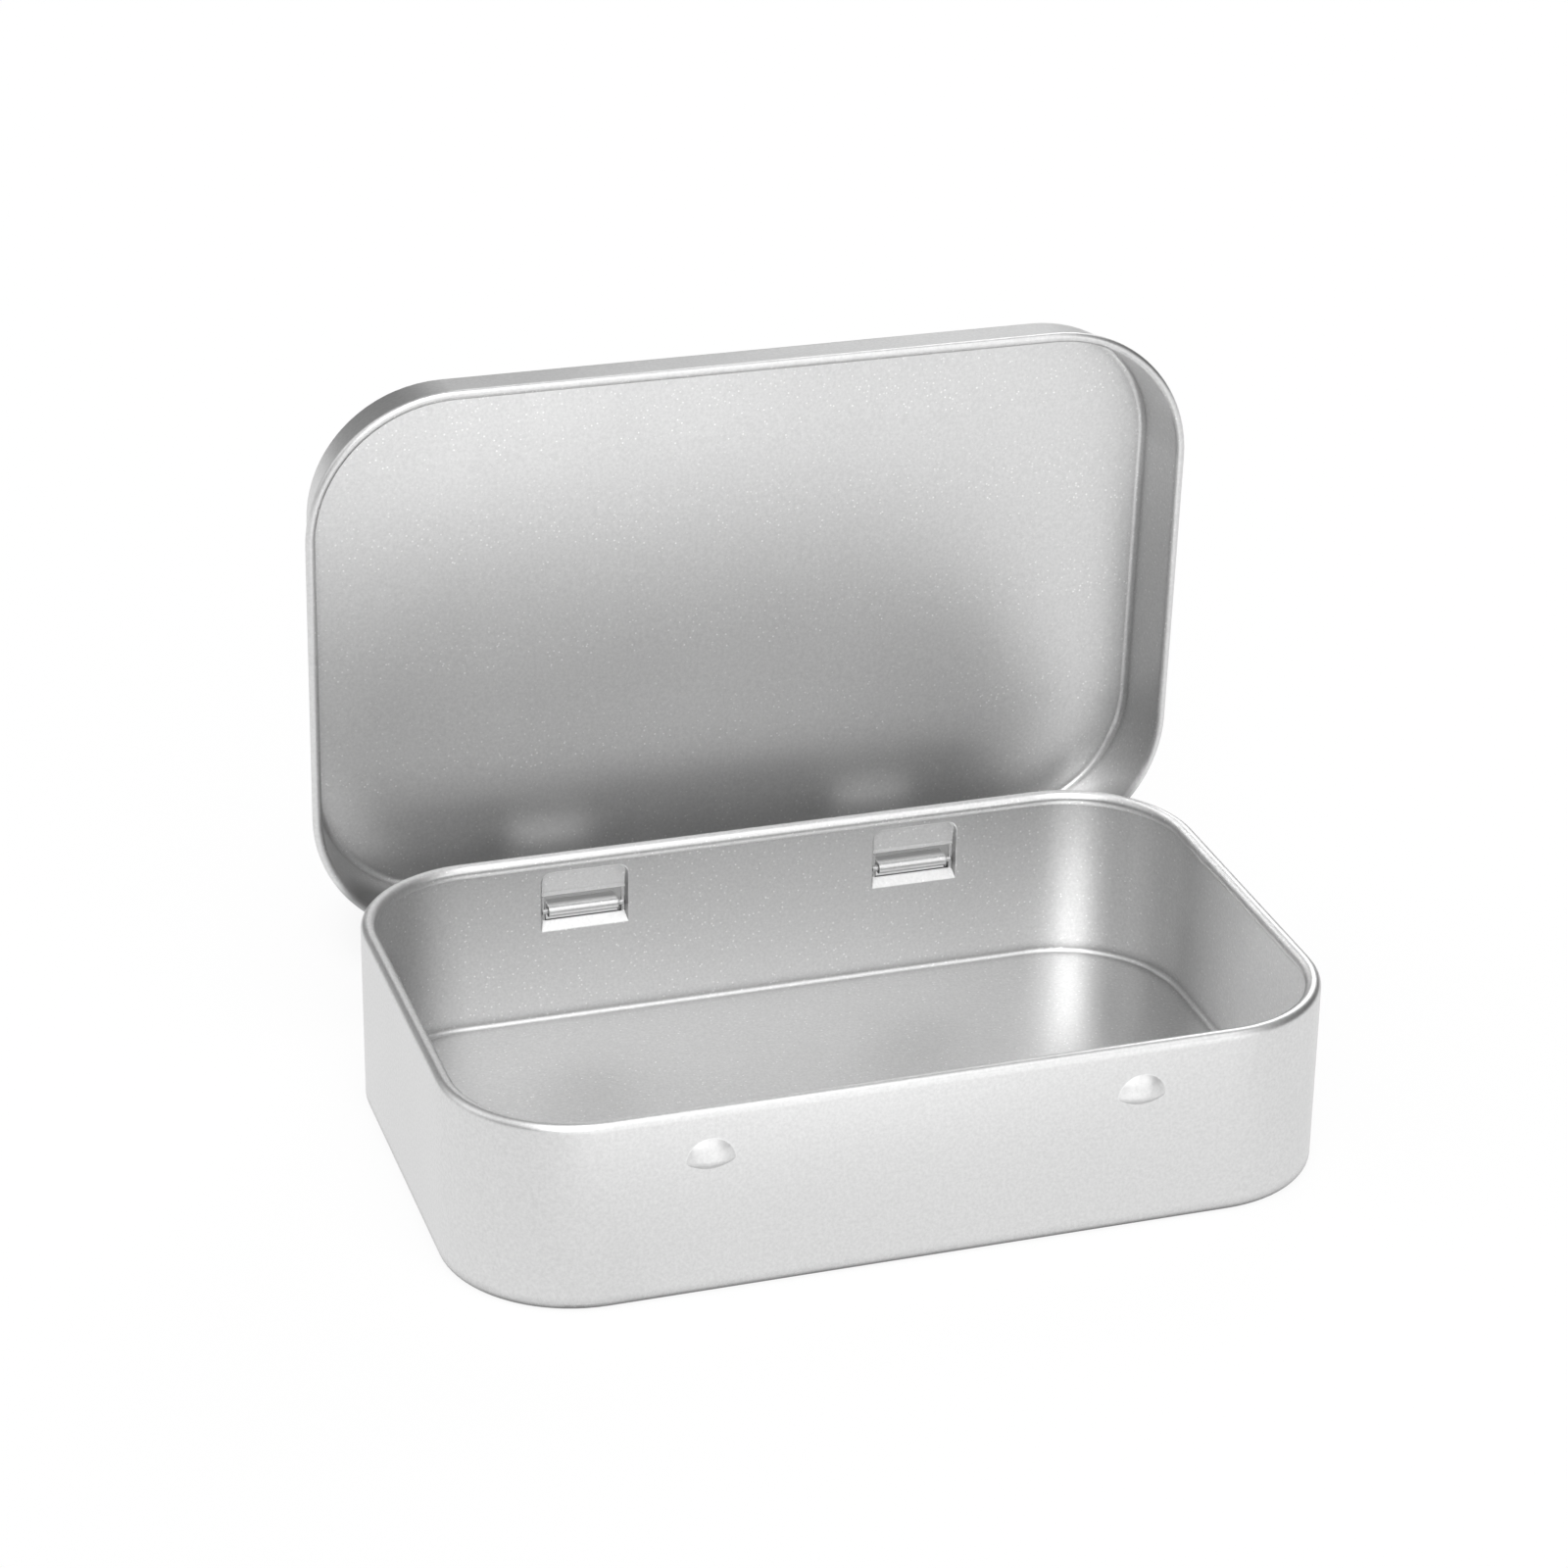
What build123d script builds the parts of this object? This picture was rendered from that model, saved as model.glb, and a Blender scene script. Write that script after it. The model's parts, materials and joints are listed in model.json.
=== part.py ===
from build123d import *

import os
from math import acos, atan2, cos, degrees, hypot, radians, sin, sqrt

# A pocket tin for mints: a shallow seamless box of drawn tinplate and a lid that swings on it.
# The tin is two pieces of sheet. The hinge has no pin of its own: the lid's edge carries two
# lugs, each curled round a bar that two slits leave in a pocket of the base's rear wall.
# Millimetres. Z is up, X runs along the tin and the front faces -Y. The origin is the middle
# of the underside. The lid is placed swung open against its stop.

# Tinplate of both pieces
sheet = 0.25

# Base
base_length = 91.0
base_width = 58.0
base_height = 20.2
corner_radius = 13.5
foot_radius = 0.75
base_curl_diameter = 1.6
base_curl_angle = 290

# Lid: the gaps are from the base's wall to the inner face of the skirt
lid_depth = 7.8
lid_seat_gap = 0.05
shoulder_radius = 0.9
shoulder_gap = 0.3
mouth_gap = 1.05
lid_curl_diameter = 1.0
lid_curl_angle = 290
open_angle = 87.2

# Hinge: the bar stays in the base, the lug belongs to the lid
hinge_spacing = 37.2
bar_diameter = 0.7
lug_clearance = 0.04
lug_width = 7.7
lug_side_gap = 0.4
lug_angle = 190
lug_end = 1.6
notch_gap = 0.2
notch_relief = 0.3
stop_gap = 0.02

# Pocket pressed outwards in the rear wall, measured up and down from the hinge axis
pocket_width = 9.65
pocket_rise = 4.95
pocket_drop = 1.95
slit_rise = 2.0
slit_drop = 0.95
lip_height = 0.4
lip_turn = 0.15
pocket_corner_radius = 1.2
pocket_side_angle = 20
skirt_clearance = 0.08

# Snap bumps pressed outwards in the front wall, over which the lid's bead clicks
bump_spacing = 44.0
bump_width = 5.0
bump_slope = 2.5
bump_ledge = 0.8
bump_bead_gap = 0.05
bump_tip_radius = 0.6
bump_clearance = 0.17

# One overrun for every cut that has to pass right through
overrun = 1.0

# Heights and radii that follow from the sizes above
half_width = base_width / 2
lid_top = base_height + lid_seat_gap + sheet
lid_bottom = lid_top - lid_depth
bead_radius = lid_curl_diameter / 2
shoulder_bend = shoulder_radius - sheet / 2
bead_bend = bead_radius - sheet / 2
lug_bend = bar_diameter / 2 + lug_clearance + sheet / 2
hinge_height = lid_bottom
slit_width = lug_width + 2 * lug_side_gap

# Section places: the first value is the distance outwards from the base's wall, the second
# is the height. The skirt is the straight line that touches both bends, so it flares.
shoulder_centre = (shoulder_gap + sheet - shoulder_radius, lid_top - shoulder_radius)
bead_centre = (mouth_gap + bead_radius, lid_bottom + bead_radius)
bend_run = bead_centre[0] - shoulder_centre[0]
bend_drop = shoulder_centre[1] - bead_centre[1]
flare = acos((shoulder_bend + bead_bend) / hypot(bend_run, bend_drop)) - atan2(bend_drop, bend_run)
skirt_reach = shoulder_centre[0] * cos(flare) + shoulder_centre[1] * sin(flare) + shoulder_bend


def skirt_out(height, off_middle=0):
    """Distance from the base's wall out to the skirt at a height, from the sheet's middle line."""
    return (skirt_reach + off_middle - height * sin(flare)) / cos(flare)


hinge_out = skirt_out(hinge_height, -lug_bend)
hinge_y = half_width + hinge_out

# Swung open, the bead beside each lug comes down on the flat of the pocket: that is the stop
turn = radians(open_angle)
bead_from_hinge = (bead_centre[0] - hinge_out, bead_centre[1] - hinge_height)
bead_open_out = hinge_out + bead_from_hinge[0] * cos(turn) + bead_from_hinge[1] * sin(turn)
pocket_depth = bead_open_out - bead_radius - stop_gap


def strip_section(start, heading, moves):
    """Section of a bent strip of sheet along its middle line.

    Each move is ("run", length) or ("bend", radius, degrees), with left bends positive.
    """
    left = []
    right = []
    place = Vector(*start)
    for kind, size, *angle in moves:
        along = Vector(1, 0).rotate(Axis.Z, heading)
        side = Vector(0, 1).rotate(Axis.Z, heading) * sheet / 2
        if kind == "run":
            end = place + along * size
            left.append(Line(place + side, end + side))
            right.append(Line(place - side, end - side))
        else:
            towards = 1 if angle[0] > 0 else -1
            centre = place + side.normalized() * size * towards
            spoke = place - centre
            halfway = centre + spoke.rotate(Axis.Z, angle[0] / 2)
            end = centre + spoke.rotate(Axis.Z, angle[0])
            for edges, shift in ((left, side), (right, -side)):
                points = (
                    place + shift,
                    halfway + shift.rotate(Axis.Z, angle[0] / 2),
                    end + shift.rotate(Axis.Z, angle[0]),
                )
                edges.append(ThreePointArc(*points))
            heading += angle[0]
        place = end
    caps = [Line(left[0] @ 0, right[0] @ 0), Line(left[-1] @ 1, right[-1] @ 1)]
    return make_face(left + right + caps)


def around_wall(section):
    """Carry a section once round the rounded rectangle of the base's outer wall."""
    side = base_length / 2
    corner_x = side - corner_radius
    corner_y = half_width - corner_radius
    path = [
        Line((0, -half_width), (corner_x, -half_width)),
        CenterArc((corner_x, -corner_y), corner_radius, -90, 90),
        Line((side, -corner_y), (side, corner_y)),
        CenterArc((corner_x, corner_y), corner_radius, 0, 90),
        Line((corner_x, half_width), (-corner_x, half_width)),
        CenterArc((-corner_x, corner_y), corner_radius, 90, 90),
        Line((-side, corner_y), (-side, -corner_y)),
        CenterArc((-corner_x, -corner_y), corner_radius, 180, 90),
        Line((-corner_x, -half_width), (0, -half_width)),
    ]
    front_middle = Plane((0, -half_width, 0), x_dir=(0, -1, 0), z_dir=(-1, 0, 0))
    return sweep(front_middle * section, path=Wire(path))


def plate(inset, low):
    """Flat sheet inside the rounded rectangle, in from the base's outer wall by the inset."""
    outline = RectangleRounded(
        base_length - 2 * inset, base_width - 2 * inset, corner_radius - inset
    )
    return extrude(Pos(0, 0, low) * outline, sheet)


def rear_block(width, outs, heights):
    """Block at the rear between two distances out from the wall and two heights off the hinge."""
    size = (width, outs[1] - outs[0], heights[1] - heights[0])
    middle = (0, half_width + (outs[0] + outs[1]) / 2, hinge_height + (heights[0] + heights[1]) / 2)
    return Pos(*middle) * Box(*size)


# Base


def drawn_box():
    """Floor, wall and the rim curled inwards, as one drawn sheet."""
    moves = (
        ("bend", foot_radius - sheet / 2, 90),
        ("run", base_height - foot_radius - base_curl_diameter / 2),
        ("bend", base_curl_diameter / 2 - sheet / 2, base_curl_angle),
    )
    wall = around_wall(strip_section((-foot_radius, sheet / 2), 0, moves))
    return wall + plate(foot_radius, 0)


def pocket_form(outer):
    """Body of a hinge pocket round x = 0: its outer skin, or else the hollow inside it."""
    grow = sheet if outer else 0
    depth = pocket_depth - sheet
    top = hinge_height + pocket_rise
    foot = hinge_height - pocket_drop
    top_depth = skirt_out(top, -sheet / 2) - skirt_clearance - sheet
    lip_depth = depth + (top_depth - depth) * lip_height / (pocket_rise - slit_rise)
    profile = Polyline(
        (-sheet, foot),
        (depth, hinge_height - slit_drop),
        (depth, hinge_height + slit_rise - lip_turn),
        (depth - lip_turn, hinge_height + slit_rise),
        (lip_depth, hinge_height + slit_rise + lip_height),
        (top_depth, top),
        (top_depth, top + overrun),
        (-sheet - overrun, top + overrun),
        (-sheet - overrun, foot),
        close=True,
    )
    profile = offset(make_face(profile), grow, kind=Kind.INTERSECTION)
    end_plane = Plane((0, half_width, 0), x_dir=(0, 1, 0), z_dir=(1, 0, 0))
    prism = extrude(end_plane * profile, pocket_width, both=True)

    mouth = Pos(0, (top + foot - overrun) / 2) * Rectangle(pocket_width, top - foot + overrun)
    mouth = fillet(mouth.vertices().group_by(Axis.Y)[-1], pocket_corner_radius)
    mouth = offset(mouth, grow / cos(radians(pocket_side_angle)), kind=Kind.ARC)
    wall_plane = Plane((0, half_width - sheet, 0), x_dir=(-1, 0, 0), z_dir=(0, 1, 0))
    pressed = extrude(wall_plane * mouth, pocket_depth + overrun, taper=pocket_side_angle)
    if not outer:
        pressed = pressed + extrude(wall_plane * mouth, -overrun)
    return prism & pressed


def hinge_bar():
    """Round bar between a pocket's two slits, its ends running into the pocket's sides."""
    bar = Cylinder(bar_diameter / 2, slit_width + 2 * sheet, rotation=(0, 90, 0))
    return Pos(0, hinge_y, hinge_height) * bar


def bump_form():
    """Outer skin and hollow of one snap bump: a round slope that grows down to a steep ledge."""
    foot = lid_bottom + lid_curl_diameter + bump_bead_gap
    ledge = foot + bump_ledge
    top = ledge + bump_slope
    height = skirt_out(ledge, -sheet / 2) - bump_clearance
    core = ((bump_width / 2) ** 2 - height**2) / (2 * height)
    tip = (core + height, ledge)
    section = make_face(
        [
            Line((0, foot), (core, foot)),
            Line((core, foot), tip),
            TangentArc(tip, (core, top), tangent=(0, 1)),
            Line((core, top), (0, top)),
            Line((0, top), (0, foot)),
        ]
    )
    section = fillet(section.vertices().sort_by(Axis.X)[-1], bump_tip_radius)
    place = Pos(0, core - half_width, 0)
    skin = place * revolve(Plane.XZ * section, Axis.Z)
    hollow = place * revolve(Plane.XZ * offset(section, -sheet, kind=Kind.ARC), Axis.Z)
    room = Pos(0, -half_width - bump_width, 0) * Box(
        2 * bump_width, 2 * (bump_width + sheet / 2), 2 * base_height
    )
    return skin & room, hollow


def tin_base():
    """The base: drawn box with two hinge pockets at the back and two snap bumps in front."""
    body = drawn_box()
    skin, hollow, bar = pocket_form(True), pocket_form(False), hinge_bar()
    slit = rear_block(slit_width, (0, pocket_depth + overrun), (-slit_drop, slit_rise))
    for x in (-hinge_spacing / 2, hinge_spacing / 2):
        body = body + Pos(x, 0, 0) * skin - Pos(x, 0, 0) * hollow
        body = body - Pos(x, 0, 0) * slit + Pos(x, 0, 0) * bar
    skin, hollow = bump_form()
    for x in (-bump_spacing / 2, bump_spacing / 2):
        body = body + Pos(x, 0, 0) * skin - Pos(x, 0, 0) * hollow
    return body


# Lid, built closed over the base


def drawn_cover():
    """Flat panel, flared skirt and the rim curled outwards, as one drawn sheet."""
    moves = (
        ("bend", shoulder_bend, degrees(flare) - 90),
        ("run", sqrt(hypot(bend_run, bend_drop) ** 2 - (shoulder_bend + bead_bend) ** 2)),
        ("bend", bead_bend, lid_curl_angle),
    )
    start = (shoulder_centre[0], lid_top - sheet / 2)
    return around_wall(strip_section(start, 0, moves)) + plate(-shoulder_centre[0], lid_top - sheet)


def lug():
    """Tab that leaves the skirt's edge downwards and curls inwards, under and up round the bar."""
    top = bead_centre[1] + bead_radius + notch_relief + sheet
    drop = top - hinge_height - lug_bend * sin(flare)
    moves = (
        ("run", drop / cos(flare)),
        ("bend", lug_bend, -lug_angle),
        ("run", lug_end),
    )
    section = strip_section((skirt_out(top), top), degrees(flare) - 90, moves)
    end_plane = Plane((0, half_width, 0), x_dir=(0, 1, 0), z_dir=(1, 0, 0))
    return extrude(end_plane * section, lug_width / 2, both=True)


def hinged_lid():
    """The lid: drawn cover with a notch in its bead for each lug, swung open to the stop."""
    body = drawn_cover()
    notch_top = bead_centre[1] + bead_radius + notch_relief - hinge_height
    notch = rear_block(
        lug_width + 2 * notch_gap,
        (-overrun, bead_centre[0] + bead_radius + overrun),
        (-overrun, notch_top),
    )
    for x in (-hinge_spacing / 2, hinge_spacing / 2):
        body = body - Pos(x, 0, 0) * notch + Pos(x, 0, 0) * lug()
    return body.rotate(Axis((0, hinge_y, hinge_height), (1, 0, 0)), -open_angle)


parts = {
    "tin_base": tin_base,
    "hinged_lid": hinged_lid,
}

os.makedirs("parts", exist_ok=True)
for name, make in parts.items():
    export_step(make(), f"parts/{name}.step")
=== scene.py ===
import json
import math

import bpy
from mathutils import Matrix, Vector


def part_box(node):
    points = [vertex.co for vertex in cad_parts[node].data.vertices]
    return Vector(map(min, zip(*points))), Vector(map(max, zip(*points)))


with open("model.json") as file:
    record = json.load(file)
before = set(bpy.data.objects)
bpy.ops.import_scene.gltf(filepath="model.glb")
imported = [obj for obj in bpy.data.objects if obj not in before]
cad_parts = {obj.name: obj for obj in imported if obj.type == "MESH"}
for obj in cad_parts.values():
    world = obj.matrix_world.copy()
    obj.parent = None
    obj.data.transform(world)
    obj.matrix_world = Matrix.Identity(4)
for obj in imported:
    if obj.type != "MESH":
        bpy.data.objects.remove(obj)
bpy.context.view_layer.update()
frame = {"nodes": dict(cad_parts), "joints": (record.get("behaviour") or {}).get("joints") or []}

# The view of the photograph: a long lens a little above the open tin, off to its left.
# The place, the turn and the lens come from fitting the tin's outlines to the picture.

MM = 0.001
photo_width = 1600
lens_pixels = 4420.39
sensor_width = 36
optical_centre = (803.24, 783.42)
camera_place = Vector((-126.183, -370.345, 221.961)) * MM
camera_azimuth = math.radians(-18.05)
camera_elevation = math.radians(24.96)
camera_roll = math.radians(0.80)
nearest_seen = 10 * MM

backwards = Vector(
    (
        math.sin(camera_azimuth) * math.cos(camera_elevation),
        -math.cos(camera_azimuth) * math.cos(camera_elevation),
        math.sin(camera_elevation),
    )
)
right = (-backwards).cross(Vector((0, 0, 1))).normalized()
up = right.cross(-backwards)
turned_right = right * math.cos(camera_roll) + up * math.sin(camera_roll)
turned_up = up * math.cos(camera_roll) - right * math.sin(camera_roll)

camera_data = bpy.data.cameras.new("photo_camera")
camera_data.sensor_width = sensor_width
camera_data.lens = sensor_width * lens_pixels / photo_width
camera_data.shift_x = (photo_width / 2 - optical_centre[0]) / photo_width
camera_data.shift_y = (optical_centre[1] - photo_width / 2) / photo_width
camera_data.clip_start = nearest_seen
camera = bpy.data.objects.new("photo_camera", camera_data)
turn = Matrix((turned_right, turned_up, backwards)).transposed().to_4x4()
camera.matrix_world = Matrix.Translation(camera_place) @ turn
bpy.context.scene.collection.objects.link(camera)
bpy.context.scene.camera = camera

# The base and the lid: two shallow boxes drawn from bright tinplate, the lid's lugs hooked
# round bars in the base's back wall. The tin coat follows the fine grain of the rolled steel
# and drawing dulls it a little, so the sheet mirrors its surroundings softly, as satin does.


def linear(hex_colour):
    """sRGB hex value to the linear colour that a shader takes."""
    channels = [int(hex_colour[i : i + 2], 16) / 255 for i in (1, 3, 5)]
    return [c / 12.92 if c <= 0.04045 else ((c + 0.055) / 1.055) ** 2.4 for c in channels] + [1]


def add_node(tree, kind, inputs=None, **settings):
    """Add a node with its settings, and give each input, by name or number, a value or a link."""
    node = tree.nodes.new(kind)
    for name, value in settings.items():
        setattr(node, name, value)
    for name, value in (inputs or {}).items():
        if isinstance(value, bpy.types.NodeSocket):
            tree.links.new(value, node.inputs[name])
        else:
            node.inputs[name].default_value = value
    return node


# Where a Mix node that mixes colours takes its two colours and gives the mixed one.
first_colour, second_colour, mixed_colour = 6, 7, 2

# Where most of a noise texture's values lie, and how many rays feel out an edge or a fold.
noise_low, noise_high = 0.3, 0.7
feeler_rays = 4


def painted_glints(tree, spot, middle):
    """Painted glints, white points put in the coat's colour where light would sparkle, on a
    piece's inner side alone.
    """
    spacing = 0.6 * MM
    size = 0.13 * MM
    place = spot.outputs["Object"]
    glint_cells = add_node(tree, "ShaderNodeTexVoronoi", {"Vector": place, "Scale": 1 / spacing})
    point = add_node(
        tree,
        "ShaderNodeMapRange",
        {
            "Value": glint_cells.outputs["Distance"],
            "From Min": size / spacing,
            "From Max": 0.5 * size / spacing,
        },
    )
    outwards = add_node(
        tree, "ShaderNodeVectorMath", {0: place, 1: middle}, operation="SUBTRACT"
    )
    side = add_node(
        tree,
        "ShaderNodeVectorMath",
        {0: spot.outputs["Normal"], 1: outwards.outputs["Vector"]},
        operation="DOT_PRODUCT",
    )
    inside = add_node(
        tree, "ShaderNodeMath", {0: side.outputs["Value"], 1: 0.0}, operation="LESS_THAN"
    )
    shine = add_node(
        tree,
        "ShaderNodeMath",
        {0: glint_cells.outputs["Color"], 1: inside.outputs["Value"]},
        operation="MULTIPLY",
    )
    return add_node(
        tree,
        "ShaderNodeMath",
        {0: point.outputs["Result"], 1: shine.outputs["Value"]},
        operation="MULTIPLY",
    ).outputs["Value"]


def hinge_painted_shade(tree, place, most):
    """Painted shade on the sheet round the lugs, grey where the slits look into the hinge, up to
    most.
    """
    lid_hinge = frame["joints"][0]
    hinge_line = lid_hinge["pos_m"]
    hook_end = 0.66 * MM
    full_from = 0.9 * MM
    full_to = 4.5 * MM
    shade_end = 6.5 * MM
    across = add_node(
        tree, "ShaderNodeVectorMath", {0: place, 1: (0, 1, 1)}, operation="MULTIPLY"
    )
    off_hinge = add_node(
        tree,
        "ShaderNodeVectorMath",
        {0: across.outputs["Vector"], 1: hinge_line},
        operation="DISTANCE",
    ).outputs["Value"]
    past_hook = add_node(
        tree,
        "ShaderNodeMapRange",
        {"Value": off_hinge, "From Min": hook_end, "From Max": full_from, "To Max": most},
    )
    near_hinge = add_node(
        tree,
        "ShaderNodeMapRange",
        {"Value": off_hinge, "From Min": shade_end, "From Max": full_to},
    )
    return add_node(
        tree,
        "ShaderNodeMath",
        {0: past_hook.outputs["Result"], 1: near_hinge.outputs["Result"]},
        operation="MULTIPLY",
    ).outputs["Value"]


def edge_painted_highlight(tree, rounded):
    """Painted highlight along sharp bends and sheared edges, where the rounded normal turns away
    from the true one.
    """
    flat_cosine = 0.995
    edge_cosine = 0.9
    facing = add_node(tree, "ShaderNodeNewGeometry").outputs["Normal"]
    turned = add_node(
        tree, "ShaderNodeVectorMath", {0: rounded, 1: facing}, operation="DOT_PRODUCT"
    )
    return add_node(
        tree,
        "ShaderNodeMapRange",
        {"Value": turned.outputs["Value"], "From Min": flat_cosine, "From Max": edge_cosine},
    ).outputs["Result"]


def fold_painted_shade(tree):
    """Painted shade in the pierced slits and the folds under the curls, darker where nearby sheet
    closes them in.
    """
    fold_depth = 3 * MM
    open_share = 0.75
    hidden_share = 0.35
    openness = add_node(
        tree, "ShaderNodeAmbientOcclusion", {"Distance": fold_depth}, samples=feeler_rays
    )
    return add_node(
        tree,
        "ShaderNodeMapRange",
        {"Value": openness.outputs["AO"], "From Min": open_share, "From Max": hidden_share},
    ).outputs["Result"]


def tinplate(name, middle, hinge_shade_share):
    """Tinplate for the piece round this middle, with painted shade by the hinge as strong as the
    last argument says.
    """
    material = bpy.data.materials.new(name)
    material.use_nodes = True
    tree = material.node_tree
    tree.nodes.clear()
    spot = add_node(tree, "ShaderNodeTexCoord")
    place = spot.outputs["Object"]
    bend_radius = 0.2 * MM
    rounded = add_node(tree, "ShaderNodeBevel", {"Radius": bend_radius}, samples=feeler_rays)

    # Grain of the rolled sheet. It is really finer than this and is drawn as coarse as it
    # needs to show.
    grain_size = 0.35 * MM
    grain = add_node(
        tree,
        "ShaderNodeTexNoise",
        {"Vector": place, "Scale": 1 / grain_size, "Detail": 2.0, "Roughness": 0.6},
    )
    tone = add_node(
        tree,
        "ShaderNodeMapRange",
        {"Value": grain.outputs["Fac"], "From Min": noise_low, "From Max": noise_high},
    )
    colour = add_node(
        tree,
        "ShaderNodeMix",
        {
            "Factor": tone.outputs["Result"],
            first_colour: linear("#D4D4D4"),
            second_colour: linear("#E0E0E0"),
        },
        data_type="RGBA",
    ).outputs[mixed_colour]

    # What lies over the coat, each with its colour: painted glints, painted shade by the hinge,
    # painted highlights on the bends and painted shade in the folds.
    for share, hex_colour in (
        (painted_glints(tree, spot, middle), "#FFFFFF"),
        (hinge_painted_shade(tree, place, hinge_shade_share), "#A4A4A4"),
        (edge_painted_highlight(tree, rounded.outputs["Normal"]), "#FAFAFA"),
        (fold_painted_shade(tree), "#6A6A6A"),
    ):
        colour = add_node(
            tree,
            "ShaderNodeMix",
            {"Factor": share, first_colour: colour, second_colour: linear(hex_colour)},
            data_type="RGBA",
        ).outputs[mixed_colour]

    # Patches a little duller than the rest, from drawing and from hands.
    patch_size = 18 * MM
    glossiest = 0.35
    dullest = 0.40
    patches = add_node(
        tree,
        "ShaderNodeTexNoise",
        {"Vector": place, "Scale": 1 / patch_size, "Detail": 3.0, "Roughness": 0.55},
    )
    gloss = add_node(
        tree,
        "ShaderNodeMapRange",
        {
            "Value": patches.outputs["Fac"],
            "From Min": noise_low,
            "From Max": noise_high,
            "To Min": glossiest,
            "To Max": dullest,
        },
    )

    # The grain stands up a little, and bends that are sharp in the solid are rounded to the eye.
    grain_height = 0.02 * MM
    grain_strength = 0.12
    relief = add_node(
        tree,
        "ShaderNodeBump",
        {
            "Height": grain.outputs["Fac"],
            "Strength": grain_strength,
            "Distance": grain_height,
            "Normal": rounded.outputs["Normal"],
        },
    )
    surface = add_node(
        tree,
        "ShaderNodeBsdfPrincipled",
        {
            "Base Color": colour,
            "Metallic": 1.0,
            "Roughness": gloss.outputs["Result"],
            "Normal": relief.outputs["Normal"],
        },
    )
    output = add_node(tree, "ShaderNodeOutputMaterial")
    tree.links.new(surface.outputs["BSDF"], output.inputs["Surface"])
    return material


for name, hinge_shade_share in (("tin_base", 0.0), ("hinged_lid", 1.0)):
    lowest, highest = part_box(name)
    middle = (Vector(lowest) + Vector(highest)) / 2
    piece = frame["nodes"][name]
    piece.data.materials.clear()
    piece.data.materials.append(tinplate(f"{name}_tinplate", middle, hinge_shade_share))

# The floor under the tin: a wide sweep of matt white paper. To the eye and in the metal it is
# nearly plain white, and the rest of it keeps the tin's shadow. The part behind the tin stays
# in shade, since the picture shows it dark through the slits.

floor_size = 4.0
floor_mesh = bpy.data.meshes.new("studio_floor")
half = floor_size / 2
floor_mesh.from_pydata(
    [(-half, -half, 0), (half, -half, 0), (half, half, 0), (-half, half, 0)], [], [(0, 1, 2, 3)]
)
floor = bpy.data.objects.new("studio_floor", floor_mesh)
bpy.context.scene.collection.objects.link(floor)

# The shade is an oval, and how far it goes is given in shares of its reach.
shade_centre = Vector((8, 55, 0)) * MM
shade_reach = Vector((38, 20, 1)) * MM
shade_full_to = 0.8
shade_gone_from = 1.4
whitest = 0.9

paper = bpy.data.materials.new("white_sweep")
paper.use_nodes = True
tree = paper.node_tree
tree.nodes.clear()
place = add_node(tree, "ShaderNodeTexCoord").outputs["Object"]
from_centre = add_node(
    tree, "ShaderNodeVectorMath", {0: place, 1: shade_centre}, operation="SUBTRACT"
)
in_reach = add_node(
    tree,
    "ShaderNodeVectorMath",
    {0: from_centre.outputs["Vector"], 1: shade_reach},
    operation="DIVIDE",
)
away = add_node(tree, "ShaderNodeVectorMath", {0: in_reach.outputs["Vector"]}, operation="LENGTH")
open_floor = add_node(
    tree,
    "ShaderNodeMapRange",
    {
        "Value": away.outputs["Value"],
        "From Min": shade_full_to,
        "From Max": shade_gone_from,
        "To Max": whitest,
    },
    interpolation_type="SMOOTHSTEP",
)
rays = add_node(tree, "ShaderNodeLightPath")
mirrored = add_node(
    tree,
    "ShaderNodeMath",
    {0: rays.outputs["Is Glossy Ray"], 1: rays.outputs["Is Transmission Ray"]},
    operation="MAXIMUM",
)
looking = add_node(
    tree,
    "ShaderNodeMath",
    {0: rays.outputs["Is Camera Ray"], 1: mirrored.outputs["Value"]},
    operation="MAXIMUM",
)
share = add_node(
    tree,
    "ShaderNodeMath",
    {0: looking.outputs["Value"], 1: open_floor.outputs["Result"]},
    operation="MULTIPLY",
)
matt = add_node(tree, "ShaderNodeBsdfDiffuse", {"Color": linear("#F4F4F4")})
white = add_node(tree, "ShaderNodeEmission", {"Color": linear("#FFFFFF"), "Strength": 1.0})
seen = add_node(
    tree,
    "ShaderNodeMixShader",
    {0: share.outputs["Value"], 1: matt.outputs["BSDF"], 2: white.outputs["Emission"]},
)
output = add_node(tree, "ShaderNodeOutputMaterial")
tree.links.new(seen.outputs["Shader"], output.inputs["Surface"])
floor_mesh.materials.append(paper)

# The room: soft round panels far off in a dim room, which the metal mirrors. Their places and
# levels come from fitting the tin's shading to the picture. Seen straight it is plain white.

world = bpy.data.worlds.new("studio")
bpy.context.scene.world = world
world.use_nodes = True
tree = world.node_tree
tree.nodes.clear()
look = add_node(tree, "ShaderNodeTexCoord").outputs["Generated"]


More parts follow.
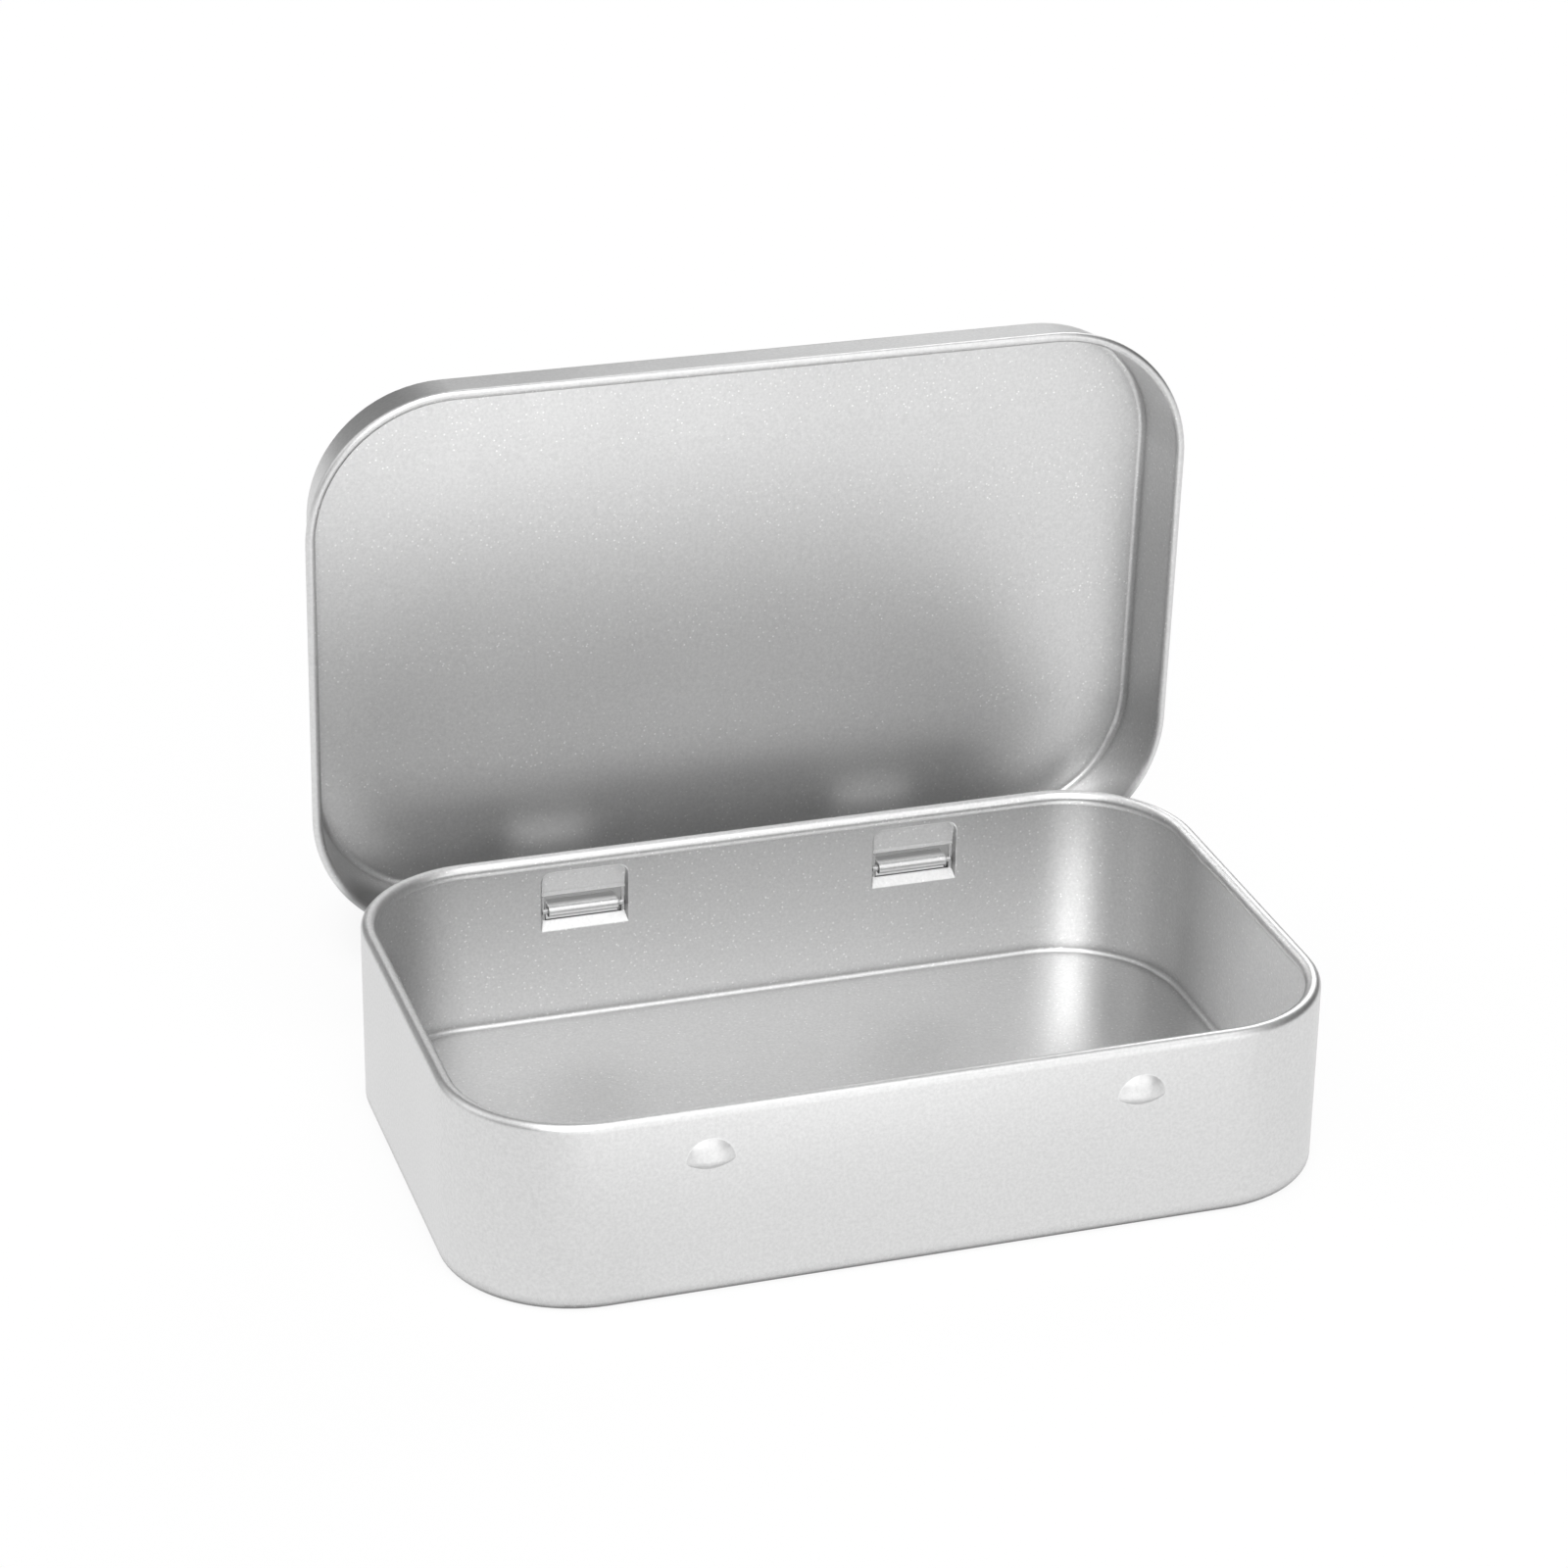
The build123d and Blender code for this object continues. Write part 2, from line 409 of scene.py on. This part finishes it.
def soft_panel(azimuth, elevation, sharpness, level):
    """Round panel of light with a soft edge, far off. Azimuth 0 is the front, 90 the right."""
    turn, rise = math.radians(azimuth), math.radians(elevation)
    towards = (
        math.sin(turn) * math.cos(rise),
        -math.cos(turn) * math.cos(rise),
        math.sin(rise),
    )
    facing = add_node(
        tree, "ShaderNodeVectorMath", {0: look, 1: towards}, operation="DOT_PRODUCT"
    )
    off = add_node(
        tree, "ShaderNodeMath", {0: facing.outputs["Value"], 1: 1.0}, operation="SUBTRACT"
    )
    fade = add_node(
        tree, "ShaderNodeMath", {0: off.outputs["Value"], 1: sharpness}, operation="MULTIPLY"
    )
    glow = add_node(tree, "ShaderNodeMath", {0: fade.outputs["Value"]}, operation="EXPONENT")
    return add_node(
        tree, "ShaderNodeMath", {0: glow.outputs["Value"], 1: level}, operation="MULTIPLY"
    ).outputs["Value"]


# In turn: overhead for the rims, two washes from above and from the front, low at the right,
# high behind the camera, a lamp behind the camera for the bright corner of the base, a wash
# from the left, and one behind at the right for the top of the open lid.
wide, narrow, narrowest = 8, 40, 80
panels = (
    soft_panel(0, 80, narrow, 3.0),
    soft_panel(0, 60, wide, 1.6),
    soft_panel(0, 8, wide, 1.0),
    soft_panel(30, 14, narrow, 1.6),
    soft_panel(-18, 55, narrow, 2.4),
    soft_panel(-23, 30, narrowest, 7.5),
    soft_panel(-108, 33, wide, 1.25),
    soft_panel(150, 35, narrow, 4.4),
)
room_level = 0.15
total = room_level
for panel in panels:
    total = add_node(
        tree, "ShaderNodeMath", {0: total, 1: panel}, operation="ADD"
    ).outputs["Value"]
rays = add_node(tree, "ShaderNodeLightPath")
straight = add_node(
    tree,
    "ShaderNodeMath",
    {0: rays.outputs["Is Camera Ray"], 1: rays.outputs["Is Transmission Ray"]},
    operation="MAXIMUM",
)
level = add_node(
    tree, "ShaderNodeMix", {"Factor": straight.outputs["Value"], "A": total, "B": 1.0}
)
light = add_node(
    tree,
    "ShaderNodeBackground",
    {"Color": linear("#FFFFFF"), "Strength": level.outputs["Result"]},
)
output = add_node(tree, "ShaderNodeOutputWorld")
tree.links.new(light.outputs["Background"], output.inputs["Surface"])

# The glowing card: a round lamp flat on the floor in front of the tin, facing up, whose light
# the front wall and the lid mirror. Its power is its level times pi times its area.

card_size = 180 * MM
card_place = Vector((0, -150, 1)) * MM
card_level = 0.56
card_area = math.pi * card_size ** 2 / 4
card_light = bpy.data.lights.new("low_card", "AREA")
card_light.shape = "DISK"
card_light.size = card_size
card_light.energy = card_level * math.pi * card_area
card = bpy.data.objects.new("low_card", card_light)
card.location = card_place
card.rotation_euler = (math.pi, 0, 0)
card.visible_camera = False
bpy.context.scene.collection.objects.link(card)

bpy.context.scene.view_settings.view_transform = "Standard"
